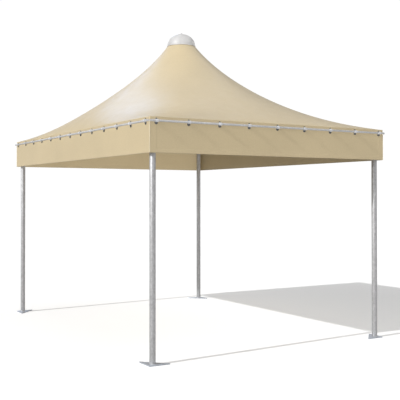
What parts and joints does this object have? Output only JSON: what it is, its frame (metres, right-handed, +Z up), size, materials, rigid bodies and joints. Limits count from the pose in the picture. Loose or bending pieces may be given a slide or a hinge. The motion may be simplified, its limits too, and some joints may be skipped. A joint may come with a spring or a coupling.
{
  "type": "marquee tent",
  "caption": "Open-sided garden marquee with a peaked stretched-fabric roof, a straight valance clamped under side tubes, a domed crown and slim tube posts on triangular base plates.",
  "frame": {"origin": "on the ground under the middle of the plan", "axes": "+Z up, +X along the short side from the left posts to the right posts, +Y along the long side from front to back"},
  "size_m": [3.0552, 4.0552, 3.6766],
  "materials": {
    "plate_zinc": "hot-dip galvanised plate, matt bluish grey",
    "post_zinc": "hot-dip galvanised tube with a mottled zinc bloom",
    "frame_zinc": "hot-dip galvanised frame sections",
    "clamp_zinc": "galvanised keder tube and pressed saddles",
    "dome_plastic": "milky translucent moulded plastic",
    "roof_fabric": "beige coated polyester, satin",
    "valance_fabric": "beige coated polyester, satin, with welded seams and a hem"
  },
  "bodies": {
    "root": {"base_plate_front_left": "plate_zinc", "base_plate_front_right": "plate_zinc", "base_plate_back_left": "plate_zinc", "base_plate_back_right": "plate_zinc", "post_front_left": "post_zinc", "post_front_right": "post_zinc", "post_back_left": "post_zinc", "post_back_right": "post_zinc", "post_head_front_left": "frame_zinc", "post_head_front_right": "frame_zinc", "post_head_back_left": "frame_zinc", "post_head_back_right": "frame_zinc", "beam_front": "frame_zinc", "beam_back": "frame_zinc", "beam_left": "frame_zinc", "beam_right": "frame_zinc", "brace_front_left": "frame_zinc", "brace_front_right": "frame_zinc", "brace_back_left": "frame_zinc", "brace_back_right": "frame_zinc", "hub": "frame_zinc", "mast": "frame_zinc", "crown_ring": "frame_zinc", "dome": "dome_plastic", "dome_knob": "dome_plastic", "roof_panel_front": "roof_fabric", "roof_panel_back": "roof_fabric", "roof_panel_left": "roof_fabric", "roof_panel_right": "roof_fabric", "valance_front": "valance_fabric", "valance_back": "valance_fabric", "valance_left": "valance_fabric", "valance_right": "valance_fabric", "keder_tube_front": "clamp_zinc", "keder_tube_back": "clamp_zinc", "keder_tube_left": "clamp_zinc", "keder_tube_right": "clamp_zinc"}
  },
  "joints": []
}
